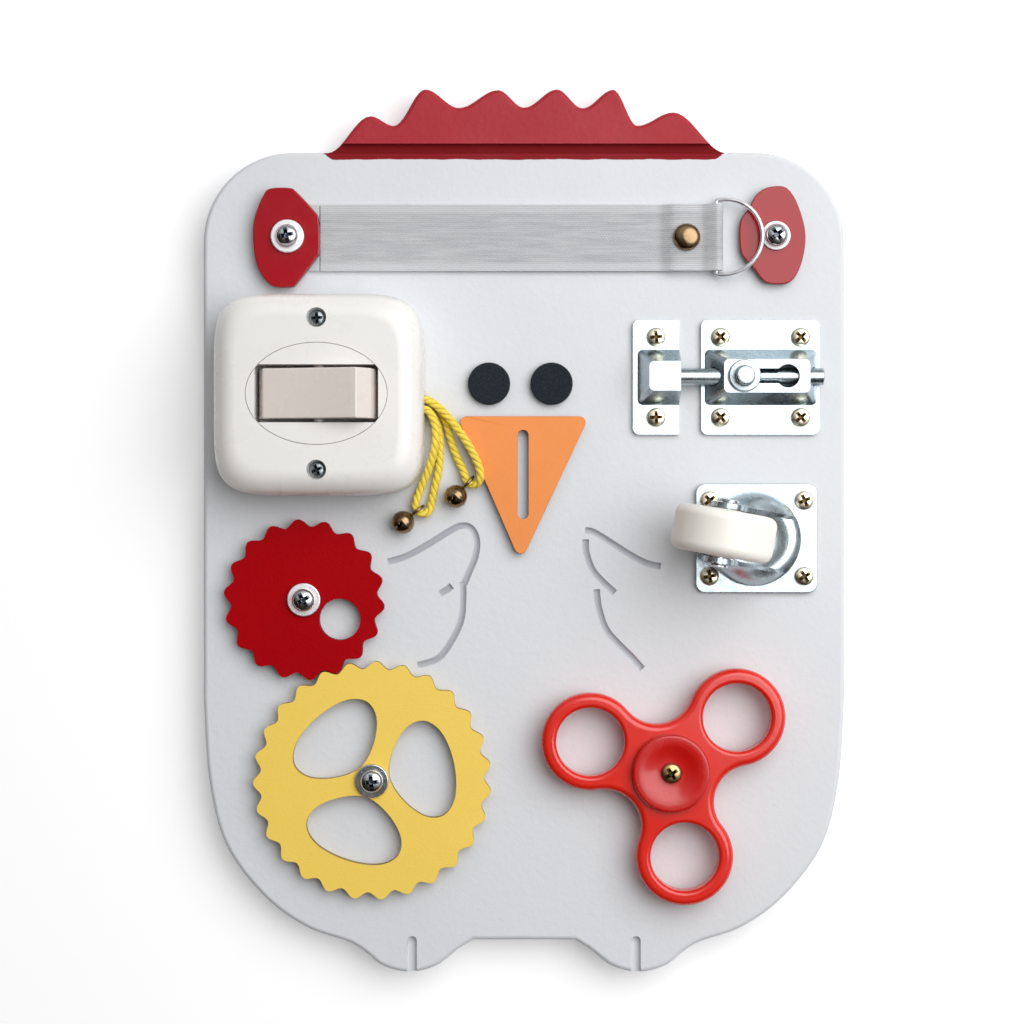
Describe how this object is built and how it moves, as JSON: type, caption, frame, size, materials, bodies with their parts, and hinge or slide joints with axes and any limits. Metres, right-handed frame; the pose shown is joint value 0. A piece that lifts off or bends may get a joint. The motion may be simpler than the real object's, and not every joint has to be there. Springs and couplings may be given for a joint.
{
  "type": "busy board",
  "caption": "Flat animal-shaped wooden board that carries a strap, a switch, gears, a barrel latch, a caster, a spinner and belled cords.",
  "frame": {"origin": "middle of the board's back face", "axes": "+Z out of the painted front, +Y up to the comb, +X to the right seen from the front"},
  "size_m": [0.2006, 0.2764, 0.0499],
  "materials": {
    "board_paint": "satin",
    "felt": "matte",
    "beak_paint": "satin",
    "crimson_paint": "satin",
    "red_paint": "satin",
    "yellow_paint": "satin",
    "webbing": "woven",
    "white_plastic": "gloss",
    "beige_plastic": "gloss",
    "grey_plastic": "matte",
    "red_plastic": "gloss",
    "dark_red_plastic": "gloss",
    "ivory_nylon": "satin",
    "zinc": "bright",
    "steel": "bright",
    "white_washer": "gloss",
    "brass": "bright",
    "old_brass": "worn",
    "cord": "twisted"
  },
  "bodies": {
    "board": {"board": "board_paint", "eye_left": "felt", "eye_right": "felt", "beak": "beak_paint", "strap_clamped_end": "webbing", "strap_clamp_plate": "crimson_paint", "strap_clamp_washer": "zinc", "strap_clamp_screw": "steel", "turn_button_washer": "white_washer", "turn_button_screw": "steel", "switch_base": "white_plastic", "switch_cover": "white_plastic", "switch_module": "white_plastic", "cover_screw_top": "steel", "cover_screw_bottom": "steel", "red_gear_spacer": "steel", "red_gear_washer": "zinc", "red_gear_screw": "steel", "yellow_gear_spacer": "steel", "yellow_gear_washer": "zinc", "yellow_gear_screw": "steel", "latch_body": "zinc", "latch_keeper": "zinc", "latch_screw_1": "brass", "latch_screw_2": "brass", "latch_screw_3": "brass", "latch_screw_4": "brass", "keeper_screw_1": "brass", "keeper_screw_2": "brass", "caster_plate": "zinc", "caster_kingpin": "steel", "caster_screw_1": "brass", "caster_screw_2": "brass", "caster_screw_3": "brass", "caster_screw_4": "brass", "bearing_inner_ring": "steel", "spinner_spacer": "steel", "spinner_cap": "dark_red_plastic", "spinner_screw": "brass", "cord_loop_left": "cord", "cord_loop_right": "cord"},
    "turn_button": {"turn_button": "crimson_paint"},
    "strap": {"strap": "webbing", "strap_rivet": "old_brass"},
    "d_ring": {"d_ring": "zinc"},
    "rocker": {"switch_rocker": "beige_plastic", "rocker_spring": "steel", "rocker_plunger": "grey_plastic"},
    "yellow_gear": {"yellow_gear": "yellow_paint"},
    "red_gear": {"red_gear": "red_paint"},
    "latch_bar": {"latch_bar": "zinc", "latch_knob": "zinc"},
    "caster_fork": {"caster_fork": "zinc", "caster_axle": "steel"},
    "caster_wheel": {"caster_wheel": "ivory_nylon"},
    "spinner": {"spinner_body": "red_plastic", "bearing_outer_ring": "steel", "bearing_ball_cage": "steel"},
    "bell_left": {"bell_left": "old_brass"},
    "bell_right": {"bell_right": "old_brass"}
  },
  "joints": [
    {"name": "turn_button_turn", "type": "hinge", "parent": "board", "child": "turn_button", "pos_m": [0.0783, 0.0917, 0.0138], "axis": [0, 0, 1], "continuous": true},
    {"name": "strap_lift", "type": "hinge", "parent": "board", "child": "strap", "pos_m": [-0.0629, 0.0913, 0.0129], "axis": [0, -1, 0], "range_deg": [0, 70]},
    {"name": "d_ring_flip", "type": "hinge", "parent": "strap", "child": "d_ring", "pos_m": [0.0598, 0.0913, 0.0145], "axis": [0, -1, 0], "range_deg": [0, 140]},
    {"name": "rocker_press", "type": "hinge", "parent": "board", "child": "rocker", "pos_m": [-0.0628, 0.0416, 0.0285], "axis": [0, 1, 0], "range_deg": [0, 24]},
    {"name": "yellow_gear_spin", "type": "hinge", "parent": "board", "child": "yellow_gear", "pos_m": [-0.0472, -0.0776, 0.0151], "axis": [0, 0, 1], "continuous": true},
    {"name": "red_gear_spin", "type": "hinge", "parent": "board", "child": "red_gear", "pos_m": [-0.06831, -0.02143, 0.0151], "axis": [0, 0, 1], "continuous": true},
    {"name": "latch_slide", "type": "slide", "parent": "board", "child": "latch_bar", "axis": [1, 0, 0], "range_m": [0, 0.0135]},
    {"name": "caster_swivel", "type": "hinge", "parent": "board", "child": "caster_fork", "pos_m": [0.0715, -0.0026, 0.015], "axis": [0, 0, 1], "continuous": true},
    {"name": "caster_wheel_spin", "type": "hinge", "parent": "caster_fork", "child": "caster_wheel", "pos_m": [0.06017, -0.0006, 0.0344], "axis": [0.1736, 0.9848, 0], "continuous": true},
    {"name": "spinner_spin", "type": "hinge", "parent": "board", "child": "spinner", "pos_m": [0.0452, -0.0745, 0.0181], "axis": [0, 0, 1], "continuous": true},
    {"name": "bell_left_swing", "type": "hinge", "parent": "board", "child": "bell_left", "pos_m": [-0.0332, 0.0062, 0.0152], "axis": [-0.6293, 0.7771, 0], "range_deg": [0, 60]},
    {"name": "bell_right_swing", "type": "hinge", "parent": "board", "child": "bell_right", "pos_m": [-0.0174, 0.0149, 0.0152], "axis": [-0.7431, 0.6691, 0], "range_deg": [0, 60]}
  ],
  "couplings": [
    {"joint": "red_gear_spin", "follows": "yellow_gear_spin", "ratio": -1.5}
  ]
}
